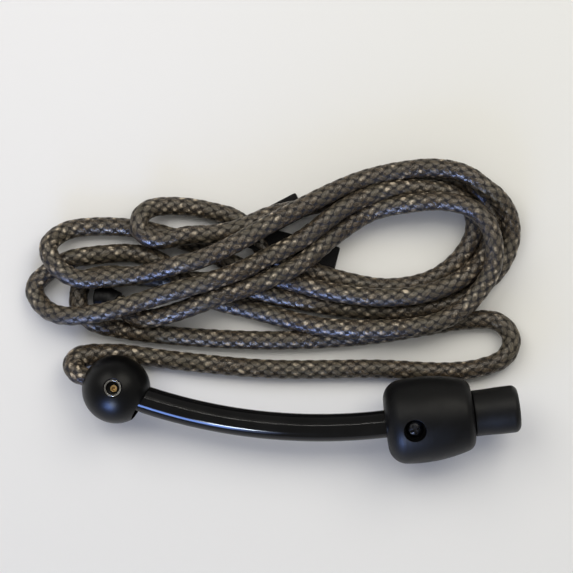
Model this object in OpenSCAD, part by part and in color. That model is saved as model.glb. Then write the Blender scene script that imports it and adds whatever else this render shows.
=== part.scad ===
// Grunt tube call: a reed barrel blown from its mouthpiece, a bent resonance tube
// and a ball that ends the tube and clamps a braided neck cord.
// Millimetres, +Z up, standing on z = 0 with the origin under the middle of the call.

/* [Place] */
// Centre of the ball along X
ball_x = -70.1; // [-75:0.1:-65]
// Centre of the ball along Y
ball_y = 8; // [5:0.1:12]
// Lean of the call, ball end low, as it lies on a table
lean = 1.63; // [1.5:0.01:2]

/* [Ball] */
// Diameter of the ball
ball_d = 26; // [25:0.5:27]
// Depth of the tube in the ball, measured to the ball's centre
tube_stop = 4; // [3.5:0.5:5]
// Diameter of the sound vent beside the tube
vent_d = 14; // [13:0.5:15]
// Sideways offset of the sound vent from the tube
vent_shift = 1.7; // [1.5:0.1:1.9]
// Outside diameter of the threaded ring in the top
ring_d = 6.4; // [6:0.2:7]

/* [Tube] */
// Outside diameter of the tube
tube_d = 10.5; // [10:0.1:11]
// Inside diameter of the tube
tube_bore_d = 7.5; // [7:0.1:8]
// Bend radius of the tube's centre line
bend_r = 212; // [200:1:230]
// Heading of the tube where it leaves the ball, degrees below +X
heading_ball = 21.4; // [19:0.2:23]
// Heading of the tube where it meets the barrel, degrees above +X
heading_barrel = 6.7; // [5:0.1:9]

/* [Barrel] */
// Length of the barrel
barrel_len = 33; // [32:0.5:36]
// Largest diameter of the barrel
barrel_d = 32.5; // [32.2:0.1:32.8]
// Radius of the long curve of its side
bulge_r = 58; // [50:1:70]
// Distance of the largest diameter from the tube end
bulge_u = 13; // [12:0.5:15]
// Edge radius at the tube end
edge_r = 7.2; // [6:0.1:8]
// Edge radius at the mouthpiece end
end_edge_r = 4.2; // [3.5:0.1:4.6]
// Bore of the barrel
chamber_d = 18; // [17.8:0.1:18.4]
// Distance of the clamp screw from the tube end
screw_u = 10.2; // [10:0.1:11]
// Turn of the clamp screw away from the top
screw_turn = 15; // [10:1:20]

/* [Mouthpiece] */
// Length of the mouthpiece outside the barrel
mouth_len = 17.5; // [16:0.5:19]
// Sleeve diameter next to the barrel
mouth_d = 17.4; // [17:0.1:17.6]
// Sleeve diameter at the lips
lip_d = 17.9; // [17.7:0.1:18.4]
// Bore at the lips, wide enough for a blow tube
mouth_bore_d = 11.5; // [11.3:0.1:11.8]

/* [Cord] */
// Diameter of the braided cord
cord_d = 7.2; // [6.8:0.1:7.4]
// Diameter of the shrunk tip
tip_d = 8; // [7.6:0.1:8.2]

/* [Strap] */
// Width of the strap
strap_w = 10; // [9:0.5:11]
// Thickness of the strap
strap_t = 0.8; // [0.6:0.1:1]

/* [Hidden] */
$fn = 96;
eps = 0.01;
fit = 0.03;          // radial clearance of pushed fits
slip = 0.1;          // radial clearance of the tube's holes
ball_r = ball_d / 2;
tube_r = tube_d / 2;

// places along the barrel, from its tube end
shoulder_u = 4.5;
seal_u = 6.6;
tube_end_u = 13.5;
bush_tail_u = 14.5;
bush_end_u = 20;
spigot_u = 24;
groove_u = 29;
board_tip_u = 38;
throat_u = 40;
mouth_end_u = barrel_len + mouth_len;

// clamp screw
head_d = 6.6;
head_h = 2.4;
well_d = 8.4;
shank_d = 3.5;
seat_r = 11.5;
insert_d = 4.6;

// reed group
board_r = 4.75;
tail_r = 4.45;
flange_r = 7;
flange_t = 1.5;
channel_r = 2.4;
reed_w = 6.4;
reed_t = 0.35;
reed_root_u = bush_end_u + flange_t;
wedge_len = 5;
reed_len = 17;
reed_tilt = 1.2;
band_u = 29.5;
band_w = 1.6;
band_t = 1.1;
band_gap = 0.75;     // room over the flat for the reed and its swing
ring_t = 1.1;        // thickness of the reed body's O-rings

// mouthpiece
spigot_bore_r = 6.8;
neck_r = 7;
throat_r = 5.4;
neck_u = 31.5;
lip_t = 1.5;
lip_edge_r = 2.5;
o_ring_t = 1.6;

// ball fittings
ring_h = 5;
ring_bore_d = 5.2;
sink_d = 7.8;        // countersink round the ring
ring_sink = 0.5;
set_screw_d = 2.6;
set_screw_len = 5.2;
socket_flats = 1.3;
cord_in = 2.6;       // how far the cord goes past the ball's centre
vent_floor_s = 8;    // floor of the vent, measured from the ball's centre
port_s = 10.6;       // sound port in the tube's wall, inside the vent
port_d = 3.4;

// centre of the tube's bend, seen from the ball's centre
bend_x = bend_r * sin(heading_ball);
bend_y = bend_r * cos(heading_ball);
face_x = bend_x + bend_r * sin(heading_barrel);
face_y = bend_y - bend_r * cos(heading_barrel);
stop_turn = asin(tube_stop / bend_r);
ball_turn = asin((ball_r + 1) / bend_r);
end_turn = asin(tube_end_u / bend_r);

// The cord's route: out of the ball, a long pair of runs, then three tall loops laid on each other
cord_route = [
    [-67.7, 7.1, 13.1], [-82, 12.7, 12.6], [-85.1, 14, 11.6], [-86.8, 16, 10.3], [-87, 18, 9.1],
    [-85.7, 19.8, 7.9], [-82.8, 20.9, 6.8], [-77, 21.5, 5.2], [-69, 21.9, 3.8], [-59.8, 20.8, 3.8],
    [-46, 19, 3.8], [-12, 16, 3.8], [30, 16, 3.8], [57, 15, 3.8], [70.4, 16.8, 3.8], [78.8, 20.8, 3.8],
    [81.1, 28, 3.8], [75.9, 34.2, 3.8], [63, 34.6, 3.8], [48, 32.3, 3.8], [27, 29, 3.8], [-4, 27, 3.8],
    [-39, 28, 3.8], [-68, 31, 3.8], [-80, 34, 3.8], [-85.3, 39.5, 3.8], [-85.5, 46, 3.8], [-83, 50.4, 3.8],
    [-75, 52.3, 3.8], [-62, 51.5, 3.8], [-50, 50.3, 3.8], [-39, 50, 3.8], [-30, 49.2, 3.8],
    [-20, 46.6, 3.8], [-12, 44.7, 3.8], [-6.1, 43.3, 3.8], [-0.3, 42.1, 3.8], [5.5, 41, 3.8],
    [11.3, 40, 3.8], [19, 39, 3.8], [38, 38.2, 3.8], [50, 39.6, 3.8], [58.3, 41.3, 3.8], [63.7, 43.6, 3.8],
    [68.3, 46.8, 3.8], [71.8, 49.9, 3.8], [75.4, 53.4, 3.8], [79.1, 59.4, 3.8], [81.3, 66.6, 4.1],
    [80.9, 72.6, 5.6], [79, 77.4, 7.8], [74.7, 82.4, 10.2], [70.2, 85.6, 11.2], [66, 89, 11.2],
    [62, 90.9, 11.4], [58, 92.1, 11.4], [49.7, 92.9, 11.4], [40.9, 92.1, 11.3], [31.9, 90.5, 11.2],
    [23, 88, 11.7], [14.1, 84.3, 12.9], [5, 79.8, 14.3], [-13, 70, 16.7], [-25, 63, 18], [-38, 57, 18.4],
    [-46, 55, 18.2], [-54, 53, 15.8], [-63, 51.2, 12.2], [-73, 50.3, 11.4], [-86.4, 50.4, 11.4],
    [-94.4, 56, 11.4], [-96.8, 62.7, 10.1], [-91, 69, 5.2], [-80, 71, 3.8], [-62, 70, 3.8],
    [-46, 65.8, 3.8], [-36, 61.4, 3.8], [-26, 56.5, 3.8], [-17, 52.4, 3.8], [-9, 50.5, 4.1],
    [0, 48.3, 6.4], [13, 45, 9.6], [32, 43, 10], [49, 45, 9.6], [60.8, 50, 8.2], [69.6, 57.8, 5],
    [73.6, 67, 3.9], [74.2, 75, 3.8], [72.5, 81.5, 3.8], [67, 86.2, 3.8], [58, 89.5, 3.8], [44, 89.5, 3.8],
    [23, 84.5, 3.8], [2, 78.2, 6.7], [-12, 74.6, 10], [-23, 69.5, 12.8], [-33, 67.2, 12.8],
    [-42.9, 66.8, 12.3], [-53.6, 65, 11.4], [-59.5, 66.5, 11.4], [-62, 69.1, 11.4], [-62.1, 71.6, 11],
    [-61.3, 74.8, 9.8], [-57.8, 77.7, 7.4], [-51.5, 78.9, 4.6], [-42.8, 78.5, 3.8], [-33.7, 76.7, 3.8],
    [-25.8, 74.4, 4.1], [-18.5, 68, 4.8], [-13, 60.2, 3.8], [-3, 56.3, 3.8], [15, 50.5, 3.8],
    [34, 47.4, 3.8], [51, 50.9, 3.8], [62, 59.5, 3.8], [67, 69, 3.8], [66.3, 77, 4], [59, 83, 6.4],
    [46, 85.2, 9.3], [32, 84, 10.8], [17, 77.5, 12.8], [0, 65, 12.2], [-15, 57, 14.6], [-25, 52, 17.9],
    [-38, 47.6, 18.2], [-48, 45, 17.8], [-58, 42, 15.6], [-75, 37.2, 14.7], [-90.8, 36.1, 10.6],
    [-98.4, 39.4, 6.2], [-102.7, 45.7, 3.8], [-102.1, 49, 3.8], [-98.6, 52.5, 3.8], [-90.8, 57.7, 3.8],
    [-77.7, 60.1, 3.8], [-64.6, 60.6, 3.8], [-56.5, 58.6, 5.4], [-50.5, 54.6, 8.7], [-45.8, 50.8, 11],
    [-40.6, 46.4, 10], [-35.8, 43.2, 6.2], [-30.6, 41.5, 4], [-22.4, 39.6, 3.8], [-11.9, 36.9, 3.8],
    [0, 33.7, 6], [8, 32, 8.4], [17, 31.1, 10.1], [28, 30.9, 10.9], [38, 31.2, 11.1], [52.1, 33.6, 10.8],
    [62, 38.9, 10.6], [68.2, 45.6, 10.9], [71.4, 50.3, 11.4], [73.6, 56.6, 12.8], [73.6, 63.5, 14.2],
    [71.2, 71, 14.7], [65, 77, 14], [54, 79.7, 13.2], [42, 79, 12.3], [27, 76, 9], [13, 67, 8.4],
    [0, 56, 11.4], [-12, 50, 12.9], [-23, 45.8, 13.8], [-31, 43.4, 14.2], [-39, 40.2, 14],
    [-53.4, 35.8, 10.4], [-59, 34.9, 9.2], [-63.8, 35.8, 8.1], [-67.2, 38.6, 7], [-70.6, 41.4, 5.9]
];
tip_route = [[-70.6, 41.4, 5.9], [-75, 43.5, 5], [-79.2, 44.2, 4.4]];
cord_sides = 8;

// the strap's wrap and its two tails
strap_x = -23.2;
strap_y = 68;
strap_gap = 0.1;
wrap_h = 8.6;
wrap_turn = -53;
tail_low_turn = 27.5;
tail_low_len = 26.4;
tail_high_turn = -14.5;
tail_high_len = 39.2;
tail_drop = 11;
tail_skew = 1.3;       // the high tail is cut along Y

function unit(v) = v / norm(v);
function route_dir(p, i) = unit(p[min(i + 1, len(p) - 1)] - p[max(i - 1, 0)]);
function ring_points(c, d, r, n) =
    let (s = unit(cross(d, [0, 0, 1])), t = cross(s, d))
    [for (k = [0:n - 1]) c + r * cos(360 * k / n) * s + r * sin(360 * k / n) * t];
function ring_faces(i, n) =
    [for (k = [0:n - 1]) [i * n + k, i * n + (k + 1) % n, (i + 1) * n + (k + 1) % n, (i + 1) * n + k]];

// a round bar swept along points, with flat ends
module swept_bar(p, r, n) {
    last = len(p) - 1;
    points = [for (i = [0:last]) each ring_points(p[i], route_dir(p, i), r, n)];
    sides = [for (i = [0:last - 1]) each ring_faces(i, n)];
    caps = [[for (k = [n - 1:-1:0]) k], [for (k = [0:n - 1]) last * n + k]];
    polyhedron(points, concat(sides, caps));
}

// frame of the call: the ball's centre, leaned as it lies
module on_call() {
    translate([ball_x, ball_y, ball_r]) rotate([0, -lean, 0]) children();
}

// frame of the ball's bore: +Z runs along the tube, +X is down
module on_ball_bore() {
    on_call() rotate([0, 0, -heading_ball]) rotate([0, 90, 0]) children();
}

// frame of the barrel: +Z runs from the tube end to the mouthpiece, -X is up
module on_barrel() {
    on_call() translate([face_x, face_y, 0]) rotate([0, 0, heading_barrel]) rotate([0, 90, 0]) children();
}

// frame of the clamp screw: +Z points outwards from the barrel's axis
module on_screw() {
    rotate([0, 0, 180 + screw_turn]) translate([0, 0, screw_u]) rotate([0, 90, 0]) children();
}

module bore(d, from, to) {
    translate([0, 0, from]) cylinder(d = d, h = to - from);
}

module o_ring(r_out, t, at) {
    translate([0, 0, at]) rotate_extrude() translate([r_out - t / 2, 0]) circle(d = t, $fn = 32);
}

// one straight or curved piece of the bent tube, as a solid bar of radius r
module bent_bar(r, from_turn, to_turn) {
    on_call() translate([bend_x, bend_y, 0]) rotate([0, 0, -90 + from_turn])
        rotate_extrude(angle = to_turn - from_turn, $fn = 720) translate([bend_r, 0]) circle(r = r, $fn = 64);
}

module ball() color("#1a1a1c") difference() {
    on_call() sphere(d = ball_d, $fn = 128);
    on_ball_bore() {
        translate([0, -vent_shift, 0]) bore(vent_d, vent_floor_s, ball_r + 1);
        bore(cord_d + 4 * slip, -ball_r - 1, cord_in + 0.3);
    }
    bent_bar(tube_r + slip, stop_turn - heading_ball - 0.02, ball_turn - heading_ball);
    on_call() {
        bore(ring_d, ball_r - ring_h - ring_sink, ball_r + 1);
        translate([0, 0, ball_r - ring_sink - 0.4]) cylinder(d1 = ring_d, d2 = sink_d, h = 0.6);
        bore(sink_d, ball_r - ring_sink + 0.2, ball_r + 1);
        bore(set_screw_d + 2 * slip, 0, ball_r);
    }
}

module ball_ring() color("#c9cbcc") on_call() difference() {
    bore(ring_d - 2 * fit, ball_r - ring_h - ring_sink, ball_r - ring_sink);
    bore(ring_bore_d, ball_r - ring_h - 1, ball_r);
}

module ball_set_screw() color("#b08d4a") on_call() difference() {
    bore(set_screw_d, cord_d / 2 + fit, cord_d / 2 + set_screw_len);
    translate([0, 0, cord_d / 2 + set_screw_len - 2]) cylinder(d = socket_flats, h = 3, $fn = 6);
}

module tube() color("#0c0c0e") difference() {
    bent_bar(tube_r, -heading_ball + stop_turn, heading_barrel + end_turn);
    bent_bar(tube_bore_d / 2, -heading_ball, heading_barrel + 2 * end_turn);
    // sound port into the ball's vent
    on_ball_bore() translate([0, 0, port_s]) rotate([90, 0, 0]) cylinder(d = port_d, h = tube_d);
}

module tube_bush() color("#2a2a2c") difference() {
    on_barrel() difference() {
        bore(chamber_d - 2 * fit, shoulder_u, bush_end_u);
        bore(tube_bore_d, 0, bush_end_u);
        bore(2 * tail_r + 2 * fit, bush_tail_u, bush_end_u + 1);
        translate([0, 0, seal_u - 1.05]) difference() {
            cylinder(r = tube_r + 2, h = 2.1);
            translate([0, 0, -1]) cylinder(r = tube_r, h = 4);
        }
        on_screw() {
            bore(insert_d, tube_r + 0.6, chamber_d);
            bore(shank_d + 2 * slip, tube_r - 1, chamber_d);
        }
    }
    bent_bar(tube_r + slip, heading_barrel, heading_barrel + end_turn + 0.1);
}

module tube_o_ring() color("#161616") on_barrel() o_ring(tube_r + 1.95, 1.7, seal_u);

module bush_insert() color("#b8934c") on_barrel() on_screw() difference() {
    bore(insert_d - 2 * fit, tube_r + 0.7, chamber_d / 2 - 0.5);
    bore(shank_d + 2 * fit, 0, chamber_d);
}

function arc_points(cx, cy, r, from, to, steps) =
    [for (k = [0:steps]) [cx + r * cos(from + (to - from) * k / steps), cy + r * sin(from + (to - from) * k / steps)]];

// half outline of the barrel: [radius, distance from the tube end]
function barrel_outline() = let (
    low = bulge_u - edge_r,
    high = barrel_len - end_edge_r - bulge_u,
    low_turn = asin(low / (bulge_r - edge_r)),
    high_turn = asin(high / (bulge_r - end_edge_r)),
    centre = barrel_d / 2 - bulge_r)
    concat(
        [[0, 0]],
        arc_points(centre + (bulge_r - edge_r) * cos(low_turn), edge_r, edge_r, -90, -low_turn, 12),
        arc_points(centre, bulge_u, bulge_r, 2 - low_turn, high_turn - 2, 10),
        arc_points(centre + (bulge_r - end_edge_r) * cos(high_turn), barrel_len - end_edge_r, end_edge_r, high_turn, 90, 9),
        [[0, barrel_len]]);

module barrel() color("#1b1b1d") on_barrel() difference() {
    rotate_extrude($fn = 160) polygon(barrel_outline());
    bore(tube_d + 4 * slip, -1, shoulder_u + 1);
    bore(chamber_d, shoulder_u, barrel_len + 1);
    on_screw() {
        bore(well_d, seat_r, barrel_d);
        bore(shank_d + 2 * slip, chamber_d / 2 - 1, seat_r + 1);
    }
}

// cross recess of the clamp screw
module cross_recess() {
    translate([0, 0, seat_r + head_h - 1.2]) for (turn = [20, 110]) rotate([0, 0, turn])
        translate([-1.9, -0.5, 0]) cube([3.8, 1, 2]);
}

module barrel_screw() color("#141416") on_barrel() on_screw() difference() {
    union() {
        intersection() {
            bore(head_d, seat_r + fit, seat_r + head_h);
            translate([0, 0, seat_r + head_h - 5]) sphere(r = 5, $fn = 96);
        }
        bore(shank_d, tube_r + 0.15, seat_r + 1);
    }
    cross_recess();
}

// the board's outline: a disc cut flat on its upper side
module board_outline(r, flat) intersection() {
    circle(r = r);
    translate([-flat, -2 * r]) square([4 * r, 4 * r]);
}

module reed_body() color("#d8d6cf") on_barrel() difference() {
    union() {
        bore(2 * tail_r, bush_tail_u + fit, bush_end_u + 0.5);
        bore(2 * flange_r, bush_end_u + fit, reed_root_u);
        translate([0, 0, reed_root_u - eps]) linear_extrude(board_tip_u - reed_root_u) board_outline(board_r, 0);
    }
    bore(2 * channel_r, bush_tail_u - 1, board_tip_u - 2);
    for (at = [16.2, 18.4]) translate([0, 0, at - 0.6]) difference() {
        cylinder(r = tail_r + 1, h = 1.2);
        translate([0, 0, -1]) cylinder(r = tail_r - 1.1, h = 4);
    }
}

module reed_body_o_rings() color("#161616") on_barrel() for (at = [16.2, 18.4])
    o_ring(tail_r + 0.01, ring_t, at);

// the tongue lies on the flat and lifts slightly towards its tip
module reed() color("#e8e4d4") on_barrel() translate([-fit, 0, reed_root_u + wedge_len + 0.2])
    rotate([0, -reed_tilt, 0]) mirror([1, 0, 0]) translate([0, -reed_w / 2, 0]) cube([reed_t, reed_w, reed_len - wedge_len]);

module reed_wedge() color("#c9c6bc") on_barrel() translate([0, 0, reed_root_u + fit])
    linear_extrude(wedge_len) intersection() {
        circle(r = board_r);
        translate([-2 * board_r - fit, -2 * board_r]) square([2 * board_r, 4 * board_r]);
    }

module reed_band() color("#161616") on_barrel() translate([0, 0, band_u - band_w / 2])
    linear_extrude(band_w) difference() {
        board_outline(board_r + band_t, band_gap + band_t);
        board_outline(board_r + fit, band_gap);
    }

module mouthpiece_stub() color("#202022") on_barrel() difference() {
    union() {
        bore(chamber_d - 2 * fit, spigot_u, barrel_len);
        bore(2 * neck_r, barrel_len - 1, mouth_end_u - lip_t);
    }
    bore(2 * spigot_bore_r, spigot_u - 1, neck_u);
    bore(2 * throat_r, spigot_u, throat_u + 1);
    bore(mouth_bore_d, throat_u, mouth_end_u + 1);
    translate([0, 0, groove_u - 0.9]) difference() {
        cylinder(r = chamber_d, h = 1.8);
        translate([0, 0, -1]) cylinder(r = chamber_d / 2 - 1.7, h = 4);
    }
}

module mouthpiece_o_ring() color("#161616") on_barrel() o_ring(chamber_d / 2 - fit, o_ring_t, groove_u);

// half outline of the rubber sleeve: [radius, distance from the barrel's tube end]
function sleeve_outline() = concat(
    [[neck_r + fit, barrel_len + 0.2], [mouth_d / 2 - 0.6, barrel_len + 0.2]],
    arc_points(mouth_d / 2 - 0.6, barrel_len + 0.8, 0.6, -90, 0, 4),
    [for (k = [0:8]) [mouth_d / 2 + (lip_d - mouth_d) / 2 * (1 - cos(180 * k / 8)) / 2,
                      barrel_len + 3 + (mouth_len - 8) * k / 8]],
    arc_points(lip_d / 2 - lip_edge_r, mouth_end_u - lip_edge_r, lip_edge_r, 0, 90, 10),
    arc_points(mouth_bore_d / 2 + 0.6, mouth_end_u - 0.6, 0.6, 90, 180, 4),
    [[mouth_bore_d / 2, mouth_end_u - lip_t + fit], [neck_r + fit, mouth_end_u - lip_t + fit]]);

module mouthpiece_sleeve() color("#232326") on_barrel() rotate_extrude($fn = 128) polygon(sleeve_outline());

module cord() color("#4b443a") swept_bar(cord_route, cord_d / 2, cord_sides);

module cord_tip() color("#101012") swept_bar(tip_route, tip_d / 2, cord_sides);

// a flat strap wrapped once round one run of the cord, with both tails pointing to the mouthpiece side
module strap() color("#0e0e10") translate([strap_x, strap_y, strap_gap]) {
    rotate([0, 0, tail_low_turn]) translate([0, -strap_w / 2, 0]) cube([tail_low_len, strap_w, strap_t]);
    rotate([0, 0, wrap_turn]) translate([-strap_w / 2, -strap_t, 0]) cube([strap_w, strap_t, wrap_h]);
    translate([0, 0, wrap_h - strap_t]) rotate([0, tail_drop, tail_high_turn])
        linear_extrude(strap_t) polygon([[0, -strap_w / 2], [tail_high_len + tail_skew, -strap_w / 2],
                                         [tail_high_len - tail_skew, strap_w / 2], [0, strap_w / 2]]);
}

ball();
ball_ring();
ball_set_screw();
tube();
tube_bush();
tube_o_ring();
bush_insert();
barrel();
barrel_screw();
reed_body();
reed_body_o_rings();
reed();
reed_wedge();
reed_band();
mouthpiece_stub();
mouthpiece_o_ring();
mouthpiece_sleeve();
cord();
cord_tip();
strap();
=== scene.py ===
"""Looks of a grunt tube call with a braided neck cord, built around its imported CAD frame. Metres, +Z up."""
import math

import bpy
import numpy as np
from mathutils import Matrix, Vector


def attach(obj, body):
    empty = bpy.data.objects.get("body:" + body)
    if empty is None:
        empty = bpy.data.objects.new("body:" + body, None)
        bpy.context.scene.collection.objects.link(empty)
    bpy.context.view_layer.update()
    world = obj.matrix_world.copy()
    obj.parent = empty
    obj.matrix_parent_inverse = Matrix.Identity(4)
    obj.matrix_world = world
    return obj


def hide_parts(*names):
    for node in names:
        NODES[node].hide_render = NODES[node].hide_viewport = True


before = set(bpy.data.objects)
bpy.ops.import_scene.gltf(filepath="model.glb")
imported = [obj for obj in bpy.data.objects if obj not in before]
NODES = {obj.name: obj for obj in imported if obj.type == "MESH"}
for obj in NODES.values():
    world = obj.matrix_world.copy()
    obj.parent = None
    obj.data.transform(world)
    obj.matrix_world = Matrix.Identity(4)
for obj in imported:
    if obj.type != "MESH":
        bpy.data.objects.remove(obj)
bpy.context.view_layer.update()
MM = 0.001

# ---------------------------------------------------------------- camera
CAMERA_ELEVATION = math.radians(85.5)
CAMERA_DISTANCE = 0.750
CAMERA_TARGET = Vector((-0.00551, 0.0469, 0.015))
CAMERA_LENS = 124.0  # millimetres, on a sensor 36 mm wide


def make_camera():
    back = Vector((0, -math.cos(CAMERA_ELEVATION), math.sin(CAMERA_ELEVATION)))
    right = Vector((1, 0, 0))
    up = back.cross(right)
    data = bpy.data.cameras.new("camera")
    data.lens = CAMERA_LENS
    data.sensor_width = 36.0
    data.clip_start = 0.01
    data.clip_end = 20.0
    cam = bpy.data.objects.new("camera", data)
    bpy.context.scene.collection.objects.link(cam)
    turn = Matrix((right, up, back)).transposed().to_4x4()
    cam.matrix_world = Matrix.Translation(CAMERA_TARGET + back * CAMERA_DISTANCE) @ turn
    bpy.context.scene.camera = cam


make_camera()
bpy.context.scene.view_settings.view_transform = "Standard"

# ---------------------------------------------------------------- node helpers


class Graph:
    """A material with a Principled BSDF, and short calls that add nodes to it."""

    def __init__(self, name, **settings):
        self.material = bpy.data.materials.new(name)
        self.material.use_nodes = True
        self.nodes = self.material.node_tree.nodes
        self.links = self.material.node_tree.links
        self.shader = next(n for n in self.nodes if n.type == "BSDF_PRINCIPLED")
        for key, value in settings.items():
            self.put(self.shader.inputs[key.replace("_", " ")], value)

    def put(self, socket, value):
        if isinstance(value, bpy.types.NodeSocket):
            self.links.new(value, socket)
        elif socket.type == "RGBA" and len(value) == 3:
            socket.default_value = (*value, 1.0)
        else:
            socket.default_value = value

    def add(self, kind, **settings):
        node = self.nodes.new(kind)
        for key, value in settings.items():
            setattr(node, key, value)
        return node

    def math(self, operation, *values):
        node = self.add("ShaderNodeMath", operation=operation)
        for socket, value in zip(node.inputs, values):
            self.put(socket, value)
        return node.outputs[0]

    def span(self, value, low, high, to_low=0.0, to_high=1.0):
        """Smooth step from to_low to to_high as value goes from low to high."""
        node = self.add("ShaderNodeMapRange", interpolation_type="SMOOTHSTEP")
        for socket, number in zip(node.inputs, (value, low, high, to_low, to_high)):
            self.put(socket, number)
        return node.outputs[0]

    def mix(self, factor, first, second):
        """Colour from first to second as factor goes from 0 to 1."""
        node = self.add("ShaderNodeMix", data_type="RGBA")
        self.put(node.inputs[0], factor)
        self.put(node.inputs[6], first)
        self.put(node.inputs[7], second)
        return node.outputs[2]

    def blend(self, factor, first, second):
        """Number from first to second as factor goes from 0 to 1."""
        node = self.add("ShaderNodeMix", data_type="FLOAT")
        self.put(node.inputs[0], factor)
        self.put(node.inputs[2], first)
        self.put(node.inputs[3], second)
        return node.outputs[0]

    def place(self):
        return self.add("ShaderNodeTexCoord").outputs["Object"]

    def uv(self, name):
        node = self.add("ShaderNodeUVMap", uv_map=name)
        parts = self.add("ShaderNodeSeparateXYZ")
        self.links.new(node.outputs[0], parts.inputs[0])
        return parts.outputs[0], parts.outputs[1]

    def vector(self, x, y, z=0.0):
        node = self.add("ShaderNodeCombineXYZ")
        for socket, value in zip(node.inputs, (x, y, z)):
            self.put(socket, value)
        return node.outputs[0]

    def noise(self, where, scale, detail=3.0, roughness=0.55):
        node = self.add("ShaderNodeTexNoise")
        self.put(node.inputs["Vector"], where)
        self.put(node.inputs["Scale"], scale)
        self.put(node.inputs["Detail"], detail)
        self.put(node.inputs["Roughness"], roughness)
        return node.outputs["Fac"]

    def bump(self, height, distance, strength, normal=None):
        node = self.add("ShaderNodeBump")
        self.put(node.inputs["Strength"], strength)
        self.put(node.inputs["Distance"], distance)
        self.put(node.inputs["Height"], height)
        if normal is not None:
            self.put(node.inputs["Normal"], normal)
        return node.outputs[0]

    def edges(self, radius):
        """Normals that round every edge to this radius."""
        node = self.add("ShaderNodeBevel", samples=6)
        self.put(node.inputs["Radius"], radius)
        return node.outputs[0]

    def set(self, **values):
        for key, value in values.items():
            self.put(self.shader.inputs[key.replace("_", " ")], value)
        return self.material


def paint(names, material):
    for name in names:
        NODES[name].data.materials.clear()
        NODES[name].data.materials.append(material)


def new_mesh(name, points, faces, material, uvs=None, smooth=True):
    mesh = bpy.data.meshes.new(name)
    mesh.from_pydata([tuple(p) for p in points], [], faces)
    mesh.materials.append(material)
    if uvs is not None:
        layer = mesh.uv_layers.new(name="strands")
        layer.data.foreach_set("uv", np.asarray(uvs, np.float32).ravel())
    mesh.polygons.foreach_set("use_smooth", [smooth] * len(mesh.polygons))
    mesh.update()
    thing = bpy.data.objects.new(name, mesh)
    bpy.context.scene.collection.objects.link(thing)
    return thing


# ---------------------------------------------------------------- cord
CORD_RADIUS = 3.68 * MM
STRANDS = 6  # in each of the two directions
PLAIT = 5.2 * MM  # length of one crossing along the cord
RING_STEP = PLAIT / 12
CORD_SIDES = 48
GROOVE = 0.42 * MM
LEAF_WIDE, LEAF_LONG = 0.92, 1.36  # half sizes of a plait, across and along its strand, in crossings
KINK_ROUNDS = 16
SWELL, SWELL_AT, SWELL_SPREAD = 0.20, 0.031, 0.010  # swelling round the bend by the ball, metres along
FLOOR_GAP = 0.03 * MM
# painted shade colour for the grooves and seams between plaits
GROOVE_SHADE_COLOUR = (0.009, 0.0065, 0.0045)
DARK_BROWN = (0.020, 0.014, 0.009)
LIGHT_BROWN = (0.050, 0.037, 0.025)
OLIVE = (0.044, 0.038, 0.025)
FIBRE_COLOUR = (0.165, 0.130, 0.095)
# painted highlight colour for the crowns of the plaits
CROWN_HIGHLIGHT_COLOUR = (0.520, 0.440, 0.335)
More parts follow.
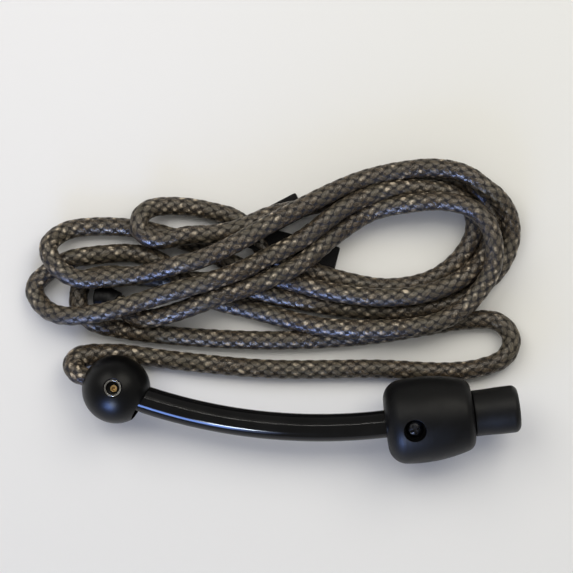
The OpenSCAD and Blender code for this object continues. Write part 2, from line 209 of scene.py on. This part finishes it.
# centre of the cord in millimetres, from inside the ball to its tip: the points of the CAD cord
ROUTE = [
    [-67.7, 7.1, 13.1], [-82, 12.7, 12.6], [-85.1, 14, 11.6], [-86.8, 16, 10.3], [-87, 18, 9.1],
    [-85.7, 19.8, 7.9], [-82.8, 20.9, 6.8], [-77, 21.5, 5.2], [-69, 21.9, 3.8], [-59.8, 20.8, 3.8],
    [-46, 19, 3.8], [-12, 16, 3.8], [30, 16, 3.8], [57, 15, 3.8], [70.4, 16.8, 3.8], [78.8, 20.8, 3.8],
    [81.1, 28, 3.8], [75.9, 34.2, 3.8], [63, 34.6, 3.8], [48, 32.3, 3.8], [27, 29, 3.8], [-4, 27, 3.8],
    [-39, 28, 3.8], [-68, 31, 3.8], [-80, 34, 3.8], [-85.3, 39.5, 3.8], [-85.5, 46, 3.8], [-83, 50.4, 3.8],
    [-75, 52.3, 3.8], [-62, 51.5, 3.8], [-50, 50.3, 3.8], [-39, 50, 3.8], [-30, 49.2, 3.8],
    [-20, 46.6, 3.8], [-12, 44.7, 3.8], [-6.1, 43.3, 3.8], [-0.3, 42.1, 3.8], [5.5, 41, 3.8],
    [11.3, 40, 3.8], [19, 39, 3.8], [38, 38.2, 3.8], [50, 39.6, 3.8], [58.3, 41.3, 3.8], [63.7, 43.6, 3.8],
    [68.3, 46.8, 3.8], [71.8, 49.9, 3.8], [75.4, 53.4, 3.8], [79.1, 59.4, 3.8], [81.3, 66.6, 4.1],
    [80.9, 72.6, 5.6], [79, 77.4, 7.8], [74.7, 82.4, 10.2], [70.2, 85.6, 11.2], [66, 89, 11.2],
    [62, 90.9, 11.4], [58, 92.1, 11.4], [49.7, 92.9, 11.4], [40.9, 92.1, 11.3], [31.9, 90.5, 11.2],
    [23, 88, 11.7], [14.1, 84.3, 12.9], [5, 79.8, 14.3], [-13, 70, 16.7], [-25, 63, 18], [-38, 57, 18.4],
    [-46, 55, 18.2], [-54, 53, 15.8], [-63, 51.2, 12.2], [-73, 50.3, 11.4], [-86.4, 50.4, 11.4],
    [-94.4, 56, 11.4], [-96.8, 62.7, 10.1], [-91, 69, 5.2], [-80, 71, 3.8], [-62, 70, 3.8],
    [-46, 65.8, 3.8], [-36, 61.4, 3.8], [-26, 56.5, 3.8], [-17, 52.4, 3.8], [-9, 50.5, 4.1],
    [0, 48.3, 6.4], [13, 45, 9.6], [32, 43, 10], [49, 45, 9.6], [60.8, 50, 8.2], [69.6, 57.8, 5],
    [73.6, 67, 3.9], [74.2, 75, 3.8], [72.5, 81.5, 3.8], [67, 86.2, 3.8], [58, 89.5, 3.8], [44, 89.5, 3.8],
    [23, 84.5, 3.8], [2, 78.2, 6.7], [-12, 74.6, 10], [-23, 69.5, 12.8], [-33, 67.2, 12.8],
    [-42.9, 66.8, 12.3], [-53.6, 65, 11.4], [-59.5, 66.5, 11.4], [-62, 69.1, 11.4], [-62.1, 71.6, 11],
    [-61.3, 74.8, 9.8], [-57.8, 77.7, 7.4], [-51.5, 78.9, 4.6], [-42.8, 78.5, 3.8], [-33.7, 76.7, 3.8],
    [-25.8, 74.4, 4.1], [-18.5, 68, 4.8], [-13, 60.2, 3.8], [-3, 56.3, 3.8], [15, 50.5, 3.8],
    [34, 47.4, 3.8], [51, 50.9, 3.8], [62, 59.5, 3.8], [67, 69, 3.8], [66.3, 77, 4], [59, 83, 6.4],
    [46, 85.2, 9.3], [32, 84, 10.8], [17, 77.5, 12.8], [0, 65, 12.2], [-15, 57, 14.6], [-25, 52, 17.9],
    [-38, 47.6, 18.2], [-48, 45, 17.8], [-58, 42, 15.6], [-75, 37.2, 14.7], [-90.8, 36.1, 10.6],
    [-98.4, 39.4, 6.2], [-102.7, 45.7, 3.8], [-102.1, 49, 3.8], [-98.6, 52.5, 3.8], [-90.8, 57.7, 3.8],
    [-77.7, 60.1, 3.8], [-64.6, 60.6, 3.8], [-56.5, 58.6, 5.4], [-50.5, 54.6, 8.7], [-45.8, 50.8, 11],
    [-40.6, 46.4, 10], [-35.8, 43.2, 6.2], [-30.6, 41.5, 4], [-22.4, 39.6, 3.8], [-11.9, 36.9, 3.8],
    [0, 33.7, 6], [8, 32, 8.4], [17, 31.1, 10.1], [28, 30.9, 10.9], [38, 31.2, 11.1], [52.1, 33.6, 10.8],
    [62, 38.9, 10.6], [68.2, 45.6, 10.9], [71.4, 50.3, 11.4], [73.6, 56.6, 12.8], [73.6, 63.5, 14.2],
    [71.2, 71, 14.7], [65, 77, 14], [54, 79.7, 13.2], [42, 79, 12.3], [27, 76, 9], [13, 67, 8.4],
    [0, 56, 11.4], [-12, 50, 12.9], [-23, 45.8, 13.8], [-31, 43.4, 14.2], [-39, 40.2, 14],
    [-53.4, 35.8, 10.4], [-59, 34.9, 9.2], [-63.8, 35.8, 8.1], [-67.2, 38.6, 7], [-70.6, 41.4, 5.9],
]
TIP_ROUTE = [[-70.6, 41.4, 5.9], [-75, 43.5, 5], [-79.2, 44.2, 4.4]]
TIP_SIDES = 40
TIP_RADIUS = 4.05  # millimetres


def smooth_route(points, step):
    """Evenly spaced points along a centripetal Catmull-Rom curve, and their distances along it."""
    p = np.asarray(points, float) * MM
    q = np.vstack([2 * p[0] - p[1], p, 2 * p[-1] - p[-2]])
    line = []
    for i in range(1, len(q) - 2):
        knots = [0.0]
        for a, b in zip(q[i - 1 : i + 2], q[i : i + 3]):
            knots.append(knots[-1] + math.sqrt(np.linalg.norm(b - a)))
        t = np.linspace(knots[1], knots[2], 24, endpoint=False)[:, None]

        def between(a, b, start, end):
            return ((end - t) * a + (t - start) * b) / (end - start)

        k0, k1, k2, k3 = knots
        a1 = between(q[i - 1], q[i], k0, k1)
        a2 = between(q[i], q[i + 1], k1, k2)
        a3 = between(q[i + 1], q[i + 2], k2, k3)
        line.append(between(between(a1, a2, k0, k2), between(a2, a3, k1, k3), k1, k2))
    line = np.vstack([*line, p[-1:]])
    along = np.concatenate([[0], np.cumsum(np.linalg.norm(np.diff(line, axis=0), axis=1))])
    at = np.linspace(0, along[-1], math.ceil(along[-1] / step) + 1)
    return np.stack([np.interp(at, along, line[:, k]) for k in range(3)], axis=1), at


def softened(line, rounds):
    """The same line with its small kinks averaged away, ends kept."""
    line = line.copy()
    for _ in range(rounds):
        line[1:-1] = 0.25 * line[:-2] + 0.5 * line[1:-1] + 0.25 * line[2:]
    return line


def side_frames(line):
    """Unit vectors across and above a line that never runs straight up."""
    run = np.gradient(line, axis=0)
    run /= np.linalg.norm(run, axis=1)[:, None]
    side = np.cross(run, [0, 0, 1.0])
    side /= np.linalg.norm(side, axis=1)[:, None]
    return side, np.cross(side, run)


def braid_height(u, v):
    """Height of a round braid, 0 to 1: each crossing shows a leaf-shaped plait of the strand on top."""
    a, b = u - v, u + v
    over = np.mod(np.floor(a) + np.floor(b), 2) < 0.5
    fa, fb = 2 * (a - np.floor(a)) - 1, 2 * (b - np.floor(b)) - 1
    across, along = np.where(over, fa, fb), np.where(over, fb, fa)
    own = (across / LEAF_WIDE) ** 2 + (along / LEAF_LONG) ** 2
    next_one = (along / LEAF_WIDE) ** 2 + ((2 - np.abs(across)) / LEAF_LONG) ** 2
    return np.sqrt(np.clip(1 - np.minimum(own, next_one), 0, 1))


def tube_faces(rings, sides):
    """Quads between the rings of a tube, and a cap at each end."""
    first = np.arange(rings - 1)[:, None] * sides
    k = np.arange(sides)[None, :]
    after = (k + 1) % sides
    corners = [first + k, first + after, first + sides + after, first + sides + k]
    faces = np.stack(corners, -1).reshape(-1, 4).tolist()
    faces.append(list(range(sides))[::-1])
    faces.append([(rings - 1) * sides + k for k in range(sides)])
    return faces


def swept(name, line, radius, sides, material, u_range, v_at):
    """A tube round a line. radius is rings x sides. Its UVs run u_range round it and v_at along it."""
    side, above = side_frames(line)
    angle = 2 * np.pi * np.arange(sides) / sides
    ring = side[:, None] * np.cos(angle)[None, :, None] + above[:, None] * np.sin(angle)[None, :, None]
    points = line[:, None] + ring * radius[:, :, None]
    points[:, :, 2] = np.maximum(points[:, :, 2], FLOOR_GAP)
    wide = u_range / sides
    start, u = np.meshgrid(v_at[:-1], np.arange(sides) / sides * u_range, indexing="ij")
    end = np.repeat(v_at[1:, None], sides, axis=1)
    corners = [(u, start), (u + wide, start), (u + wide, end), (u, end)]
    uvs = np.stack([np.stack(corner, -1) for corner in corners], 2).reshape(-1, 2)
    cap_uvs = np.zeros((2 * sides, 2))
    faces = tube_faces(len(line), sides)
    return new_mesh(name, points.reshape(-1, 3), faces, material, np.vstack([uvs, cap_uvs]))


def plait_nodes(g, u, v):
    """braid_height as nodes: height, nearness, seam, strand number, and place across and along the strand."""
    a, b = g.math("SUBTRACT", u, v), g.math("ADD", u, v)
    ia, ib = g.math("FLOOR", a), g.math("FLOOR", b)
    over = g.math("LESS_THAN", g.math("FLOORED_MODULO", g.math("ADD", ia, ib), 2.0), 0.5)
    fa = g.math("MULTIPLY_ADD", g.math("SUBTRACT", a, ia), 2.0, -1.0)
    fb = g.math("MULTIPLY_ADD", g.math("SUBTRACT", b, ib), 2.0, -1.0)
    across, along = g.blend(over, fb, fa), g.blend(over, fa, fb)

    def ellipse(wide, long):
        x, y = g.math("DIVIDE", wide, LEAF_WIDE), g.math("DIVIDE", long, LEAF_LONG)
        return g.math("MULTIPLY_ADD", x, x, g.math("MULTIPLY", y, y))

    own = ellipse(across, along)
    other = ellipse(along, g.math("SUBTRACT", 2.0, g.math("ABSOLUTE", across)))
    mine = g.math("LESS_THAN", own, other)
    nearest = g.math("MINIMUM", own, other)
    height = g.math("SQRT", g.math("MAXIMUM", g.math("SUBTRACT", 1.0, nearest), 0.0))
    seam = g.math("ABSOLUTE", g.math("SUBTRACT", own, other))
    first = g.math("COMPARE", over, mine, 0.5)
    one_way = g.math("FLOORED_MODULO", ia, float(STRANDS))
    other_way = g.math("ADD", g.math("FLOORED_MODULO", ib, float(STRANDS)), 11.0)
    number = g.blend(first, other_way, one_way)
    return height, nearest, seam, number, g.blend(mine, along, across), g.blend(first, a, b)


def cord_material():
    """Waxed braid: leaf-shaped plaits, strand tones and fibres, with painted highlights on the plait crowns
    and painted shade in the grooves between plaits.
    """
    g = Graph("waxed_braid", Specular_IOR_Level=0.45)
    where = g.place()
    u, v = g.uv("strands")
    ragged = g.math("MULTIPLY_ADD", g.noise(where, 900.0, 2.0), 0.24, -0.12)
    height, nearest, seam, number, side, run = plait_nodes(g, g.math("ADD", u, ragged), v)
    along_strand = g.vector(g.math("MULTIPLY", side, 4.5), g.math("MULTIPLY", run, 1.3), number)
    fibres = g.noise(along_strand, 1.0, 3.0, 0.65)
    patches = g.noise(where, 75.0, 4.0)
    # noise that varies the painted highlights and the painted groove shade
    shade_and_highlight_mottle = g.noise(where, 420.0, 4.0, 0.65)
    fine = g.noise(where, 2600.0, 3.0)
    tone = g.noise(g.vector(number, g.math("MULTIPLY", v, 0.35), 3.0), 1.3, 2.0)
    brown = g.mix(g.span(tone, 0.35, 0.65), DARK_BROWN, LIGHT_BROWN)
    olive = g.mix(g.span(patches, 0.40, 0.62), brown, OLIVE)
    streaked = g.mix(g.span(fibres, 0.42, 0.72, 0.0, 0.75), olive, FIBRE_COLOUR)
    each = g.noise(g.vector(g.math("MULTIPLY", number, 7.3), run, 1.7), 1.0, 1.0)
    # painted highlight: pale colour on the crowns of the plaits, in patches and brighter or duller stretches
    crown = g.math("POWER", g.span(height, 0.66, 0.98), 2.0)
    highlight_patches = g.math("MULTIPLY", g.span(shade_and_highlight_mottle, 0.42, 0.68), g.span(each, 0.40, 0.62, 0.10, 1.0))
    highlight_stretches = g.span(g.noise(where, 28.0, 2.0), 0.40, 0.62, 0.4, 1.6)
    crown_highlight = g.math("MULTIPLY", g.math("MULTIPLY", crown, highlight_patches), highlight_stretches)
    highlighted = g.mix(crown_highlight, streaked, CROWN_HIGHLIGHT_COLOUR)
    # painted shade: the grooves and seams between plaits darkened, its strength varied by noise
    groove_shade_mask = g.math("MAXIMUM", g.span(nearest, 0.55, 0.95), g.span(seam, 0.05, 0.55, 1.0, 0.0))
    groove_shade = g.math("MULTIPLY", groove_shade_mask, g.span(shade_and_highlight_mottle, 0.30, 0.60, 0.72, 1.0))
    colour = g.mix(groove_shade, highlighted, GROOVE_SHADE_COLOUR)
    rough = g.blend(g.span(height, 0.20, 0.70), 0.85, g.span(patches, 0.3, 0.7, 0.20, 0.40))
    fluff = g.math("ADD", fibres, g.math("MULTIPLY", fine, 0.35))
    bump = g.bump(fluff, 0.16 * MM, 0.7, g.bump(height, GROOVE, 0.7))
    return g.set(Base_Color=colour, Roughness=rough, Normal=bump)


def make_cord():
    """The braided cord along its route, and the line through its middle."""
    line, along = smooth_route(ROUTE, RING_STEP)
    line[:, 2] = np.maximum(line[:, 2], CORD_RADIUS)
    line = softened(line, KINK_ROUNDS)
    round_it = np.arange(CORD_SIDES) / CORD_SIDES * STRANDS
    v = along / PLAIT
    height = braid_height(round_it[None, :], v[:, None])
    swell = 1 + SWELL * np.exp(-((along - SWELL_AT) / SWELL_SPREAD) ** 2)
    radius = (CORD_RADIUS - GROOVE * (1 - height)) * swell[:, None]
    return swept("neck_cord", line, radius, CORD_SIDES, cord_material(), STRANDS, v), line


def shrink_material():
    """Dull black shrink sleeve with faint ripples."""
    g = Graph("shrink_sleeve", Specular_IOR_Level=0.22)
    where = g.place()
    ripple = g.noise(where, 700.0, 2.0)
    grain = g.noise(where, 5200.0, 2.0)
    rough = g.span(ripple, 0.3, 0.7, 0.42, 0.60)
    colour = g.mix(g.span(ripple, 0.45, 0.75), (0.004, 0.004, 0.005), (0.009, 0.0085, 0.0085))
    bump = g.bump(g.math("ADD", ripple, g.math("MULTIPLY", grain, 0.15)), 0.25 * MM, 0.5)
    return g.set(Base_Color=colour, Roughness=rough, Normal=bump)


def make_tip():
    """A shrink sleeve on the cord's end: slight waves and creases, a snug start and a rounded end."""
    line, along = smooth_route(TIP_ROUTE, 0.25 * MM)
    share = along / along[-1]
    angle = 2 * np.pi * np.arange(TIP_SIDES) / TIP_SIDES
    waves = 0.08 * np.sin(share * 17)
    creases = 0.10 * np.sin(3 * angle + 1.0)[None, :] * np.sin(9 * share)[:, None]
    from_end = np.clip((1 - share) / 0.07, 0, 1)
    rounded = 0.9 * (1 - np.sqrt(1 - (1 - from_end) ** 2))
    snug = 0.35 * (1 - np.clip(share / 0.05, 0, 1))
    radius = (TIP_RADIUS + waves)[:, None] + creases - rounded[:, None] - snug[:, None]
    return swept("cord_tip_sleeve", line, radius * MM, TIP_SIDES, shrink_material(), 1.0, share)


cord, cord_line = make_cord()
tip = make_tip()
for piece, node, slot_name in ((cord, "cord", "cord_braid"), (tip, "cord_tip", "shrink_black")):
    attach(piece, "root")
    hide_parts(node)

# ---------------------------------------------------------------- strap
STRAP_WIDTH = 10 * MM
STRAP_THICK = 0.8 * MM
# the rest of the strap's lengths are in millimetres
STRAP_CORNER = np.array([-23.2, 68.0])
TAIL_START = 5  # from the corner to where each tail leaves the fold
STRAP_REST = 0.5  # height of the strap's middle where it lies on the floor
LOW_TURN, LOW_LENGTH = math.radians(27.5), 26.4
HIGH_TURN, HIGH_LENGTH, HIGH_DROP = math.radians(-14.5), 39.2, math.radians(11)
WRAP_TURN, WRAP_HEIGHT = math.radians(-53), 8.6
WRAP_WAY, WRAP_BULGE = np.array([-0.8, -0.6]), 1.1


def strap_stations():
    """Centre and half-width direction along the strap, in mm: low tail, fold round the cord, high tail."""
    stations = []
    low = np.array([math.cos(LOW_TURN), math.sin(LOW_TURN)])
    high = np.array([math.cos(HIGH_TURN), math.sin(HIGH_TURN)])
    for t in np.linspace(LOW_LENGTH, TAIL_START, 9):
        height = STRAP_REST + 0.10 * math.sin(t / 3)
        stations.append(([*(STRAP_CORNER + low * t), height], [-low[1], low[0], 0]))
    bend = [-math.cos(WRAP_TURN), -math.sin(WRAP_TURN), 0]
    for share in np.linspace(0.12, 0.88, 5):
        centre = STRAP_CORNER + WRAP_WAY * (WRAP_BULGE * math.sin(math.pi * share))
        stations.append(([*centre, STRAP_REST + (WRAP_HEIGHT - 0.9) * share], bend))
    for t in np.linspace(TAIL_START, HIGH_LENGTH, 13):
        centre = STRAP_CORNER + high * t * math.cos(HIGH_DROP)
        height = WRAP_HEIGHT - 0.4 - t * math.tan(HIGH_DROP) * math.cos(HIGH_DROP)
        stations.append(([*centre, height], [-high[1], high[0], 0]))
    return stations


def strap_material():
    """Black woven tape: slanting twill over lengthwise ribs, with a little fuzz."""
    g = Graph("woven_strap", Specular_IOR_Level=0.2)
    u, v = g.uv("strands")
    slant = g.math("ADD", g.math("MULTIPLY", u, 20.0), g.math("MULTIPLY", v, 1400.0))
    twill = g.math("SINE", g.math("MULTIPLY", slant, 2 * math.pi))
    ribs = g.math("SINE", g.math("MULTIPLY", u, 40 * math.pi))
    fuzz = g.noise(g.place(), 3000.0, 3.0)
    relief = g.math("ADD", g.math("MULTIPLY", ribs, 0.5), fuzz)
    weave = g.math("ADD", g.math("MULTIPLY", twill, 0.5), relief)
    colour = g.mix(g.span(weave, -0.4, 1.4), (0.002, 0.002, 0.0025), (0.007, 0.0065, 0.007))
    rough = g.span(fuzz, 0.3, 0.7, 0.6, 0.8)
    return g.set(Base_Color=colour, Roughness=rough, Normal=g.bump(weave, 0.06 * MM, 0.8))


def crease_border(mesh, amount):
    """Creases the edges that only one face uses, so that subdivision keeps them in place."""
    uses = {}
    for face in mesh.polygons:
        for key in face.edge_keys:
            uses[key] = uses.get(key, 0) + 1
    crease = mesh.attributes.new("crease_edge", "FLOAT", "EDGE")
    values = [amount if uses.get(tuple(sorted(e.vertices)), 0) == 1 else 0.0 for e in mesh.edges]
    crease.data.foreach_set("value", values)


def make_strap():
    """The folded strap, and its length along its middle in metres."""
    stations = strap_stations()
    centre = np.array([s[0] for s in stations]) * MM
    width = softened(np.array([s[1] for s in stations], float), 2)
    width /= np.linalg.norm(width, axis=1)[:, None]
    across = np.array([-1.0, -0.88, -0.5, 0.0, 0.5, 0.88, 1.0])
    points = centre[:, None] + width[:, None] * (across * STRAP_WIDTH / 2)[None, :, None]
    wide = len(across)
    along = np.concatenate([[0], np.cumsum(np.linalg.norm(np.diff(centre, axis=0), axis=1))])
    faces, uvs = [], []
    for i in range(len(stations) - 1):
        for k in range(wide - 1):
            corners = [(i, k), (i + 1, k), (i + 1, k + 1), (i, k + 1)]
            faces.append([row * wide + column for row, column in corners])
            uvs.extend([(across[column] + 1) / 2, along[row]] for row, column in corners)
    strap = new_mesh("folded_strap", points.reshape(-1, 3), faces, strap_material(), uvs)
    solid = strap.modifiers.new("thickness", "SOLIDIFY")
    solid.thickness = STRAP_THICK
    solid.offset = 0.0
    soft = strap.modifiers.new("roundness", "SUBSURF")
    soft.levels = soft.render_levels = 2
    crease_border(strap.data, 0.7)
    return strap, float(along[-1])


strap, strap_length = make_strap()
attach(strap, "root")
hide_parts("strap")

# ---------------------------------------------------------------- materials of the call


def moulded(name, low, high, rough_low, rough_high, grain=0.04, specular=0.5):
    """Moulded plastic or rubber: faint clouding, fine grain, handled patches and softened edges."""
    g = Graph(name, Specular_IOR_Level=specular)
    where = g.place()
    cloud = g.noise(where, 45.0, 4.0)
    rub = g.noise(where, 160.0, 5.0, 0.65)
    fine = g.noise(where, 4200.0, 2.0)
    colour = g.mix(g.span(cloud, 0.3, 0.7), low, high)
    rough = g.math("ADD", g.span(rub, 0.3, 0.7, rough_low, rough_high), g.math("MULTIPLY", fine, 0.04))
    bump = g.bump(fine, grain * MM, 0.35, g.edges(0.25 * MM))
    return g.set(Base_Color=colour, Roughness=rough, Normal=bump)


def tube_material():
    """Gloss tube: a little haze, and small scuffed spots."""
    g = Graph("gloss_tube", Specular_IOR_Level=0.18, Coat_Weight=0.10, Coat_Roughness=0.03)
    where = g.place()
    haze = g.noise(where, 70.0, 4.0)
    scuff = g.noise(where, 900.0, 4.0, 0.7)
    colour = g.mix(g.span(haze, 0.3, 0.7), (0.0020, 0.0020, 0.0023), (0.0040, 0.0040, 0.0045))
    rough = g.math("ADD", g.span(haze, 0.35, 0.7, 0.09, 0.15), g.span(scuff, 0.62, 0.8, 0.0, 0.12))
    bump = g.bump(haze, 0.10 * MM, 0.15, g.edges(0.15 * MM))
    return g.set(Base_Color=colour, Roughness=rough, Normal=bump)


def metal(name, low, high, rough_low, rough_high):
    """Metal: fine marks, slight tarnish and softened edges."""
    g = Graph(name, Metallic=1.0)
    where = g.place()
    marks = g.noise(where, 2400.0, 2.0)
    stain = g.noise(where, 500.0, 4.0)
    colour = g.mix(g.span(stain, 0.35, 0.7), low, high)
    rough = g.span(stain, 0.3, 0.7, rough_low, rough_high)
    bump = g.bump(marks, 0.03 * MM, 0.4, g.edges(0.12 * MM))
    return g.set(Base_Color=colour, Roughness=rough, Normal=bump)


BALL = moulded("ball_plastic", (0.0010, 0.0010, 0.0012), (0.0018, 0.0018, 0.0020), 0.29, 0.35,
               specular=0.18)
BARREL = moulded("barrel_plastic", (0.0016, 0.0016, 0.0018), (0.0030, 0.0030, 0.0032), 0.38, 0.48,
                 specular=0.185)
SLEEVE = moulded("sleeve_rubber", (0.0024, 0.0024, 0.0026), (0.0042, 0.0042, 0.0044), 0.38, 0.48,
                 grain=0.06, specular=0.20)
INNER = moulded("inner_plastic", (0.014, 0.014, 0.015), (0.020, 0.020, 0.021), 0.35, 0.45)
SEAL = moulded("seal_rubber", (0.006, 0.006, 0.006), (0.010, 0.010, 0.010), 0.5, 0.65)
REED_WHITE = moulded("reed_plastic", (0.55, 0.53, 0.47), (0.66, 0.64, 0.58), 0.35, 0.45)
REED_FILM = moulded("reed_film", (0.62, 0.60, 0.50), (0.72, 0.70, 0.62), 0.15, 0.25)
paint(["ball"], BALL)
paint(["barrel"], BARREL)
paint(["tube"], tube_material())
paint(["mouthpiece_sleeve"], SLEEVE)
paint(["mouthpiece_stub", "tube_bush"], INNER)
paint(["tube_o_ring", "reed_body_o_rings", "reed_band", "mouthpiece_o_ring"], SEAL)
paint(["reed_body", "reed_wedge"], REED_WHITE)
paint(["reed"], REED_FILM)
paint(["ball_ring"], metal("nickel", (0.24, 0.235, 0.22), (0.50, 0.49, 0.47), 0.08, 0.20))
paint(["ball_set_screw", "bush_insert"], metal("brass", (0.36, 0.23, 0.09), (0.56, 0.38, 0.17), 0.22, 0.38))
paint(["barrel_screw"], metal("black_oxide", (0.020, 0.020, 0.022), (0.045, 0.045, 0.048), 0.25, 0.40))

# ---------------------------------------------------------------- floor and light
FLOOR_HALF = 3.0
# floor colours at its four corners, with painted light falloff and tint
NEAR_LEFT, NEAR_RIGHT = (0.800, 0.800, 0.800), (0.795, 0.795, 0.790)
FAR_LEFT, FAR_RIGHT = (0.860, 0.862, 0.880), (0.820, 0.822, 0.808)
WORLD_COLOUR, WORLD_STRENGTH = (1.0, 0.98, 0.93, 1.0), 0.38
LIGHT_AIM = Vector((0.0, 0.04, 0.0))


def make_floor():
    """Plain pale floor with painted light falloff in its colour: brighter towards the far side, cooler far
    left and warmer far right.
    """
    g = Graph("paper_floor", Roughness=0.85, Specular_IOR_Level=0.2)
    where = g.place()
    parts = g.add("ShaderNodeSeparateXYZ")
    g.put(parts.inputs[0], where)
    rightwards = g.span(parts.outputs[0], -0.10, 0.10)
    away = g.span(parts.outputs[1], -0.09, 0.17)
    # painted light falloff across the floor
    colour = g.mix(away, g.mix(rightwards, NEAR_LEFT, NEAR_RIGHT), g.mix(rightwards, FAR_LEFT, FAR_RIGHT))
    tooth = g.noise(where, 2500.0, 2.0)
    paper = g.set(Base_Color=colour, Normal=g.bump(tooth, 0.02 * MM, 0.2))
    corners = [(-FLOOR_HALF, -FLOOR_HALF, 0), (FLOOR_HALF, -FLOOR_HALF, 0),
               (FLOOR_HALF, FLOOR_HALF, 0), (-FLOOR_HALF, FLOOR_HALF, 0)]
    floor = new_mesh("floor", corners, [[0, 1, 2, 3]], paper, smooth=False)


def area_light(name, direction, distance, size, power, colour, only_gloss=False):
    """A soft light in this direction from LIGHT_AIM. only_gloss leaves it out of diffuse light."""
    data = bpy.data.lights.new(name, "AREA")
    data.shape = "RECTANGLE"
    data.size, data.size_y = size
    data.energy = power
    data.color = colour
    light = bpy.data.objects.new(name, data)
    bpy.context.scene.collection.objects.link(light)
    way = Vector(direction).normalized()
    light.location = LIGHT_AIM + way * distance
    light.visible_diffuse = not only_gloss
    light.rotation_mode = "QUATERNION"
    light.rotation_quaternion = way.to_track_quat("Z", "Y")


def make_world():
    world = bpy.data.worlds.new("studio")
    bpy.context.scene.world = world
    world.use_nodes = True
    background = next(n for n in world.node_tree.nodes if n.type == "BACKGROUND")
    background.inputs["Color"].default_value = WORLD_COLOUR
    background.inputs["Strength"].default_value = WORLD_STRENGTH


make_floor()
make_world()
area_light("key", (0.50, 0.58, 1.00), 1.8, (1.2, 1.2), 13.0, (1.0, 0.96, 0.86))
area_light("fill_left", (-0.62, 0.55, 1.00), 1.8, (1.2, 1.2), 11.5, (1.0, 0.98, 0.92))
area_light("window", (-0.36, -0.84, 0.405), 1.2, (0.60, 0.45), 3.5, (0.36, 0.50, 1.0))
area_light("window_glow", (-0.36, -0.84, 0.405), 1.3, (0.42, 0.34), 16.0, (0.20, 0.36, 0.95), only_gloss=True)
area_light("window_gap", (-0.20, -0.76, 0.52), 1.2, (0.13, 0.10), 5.0, (0.80, 0.90, 1.0), only_gloss=True)
area_light("ceiling_strip", (-0.02, 0.27, 0.96), 1.4, (0.30, 0.012), 0.6, (1.0, 0.97, 0.92))
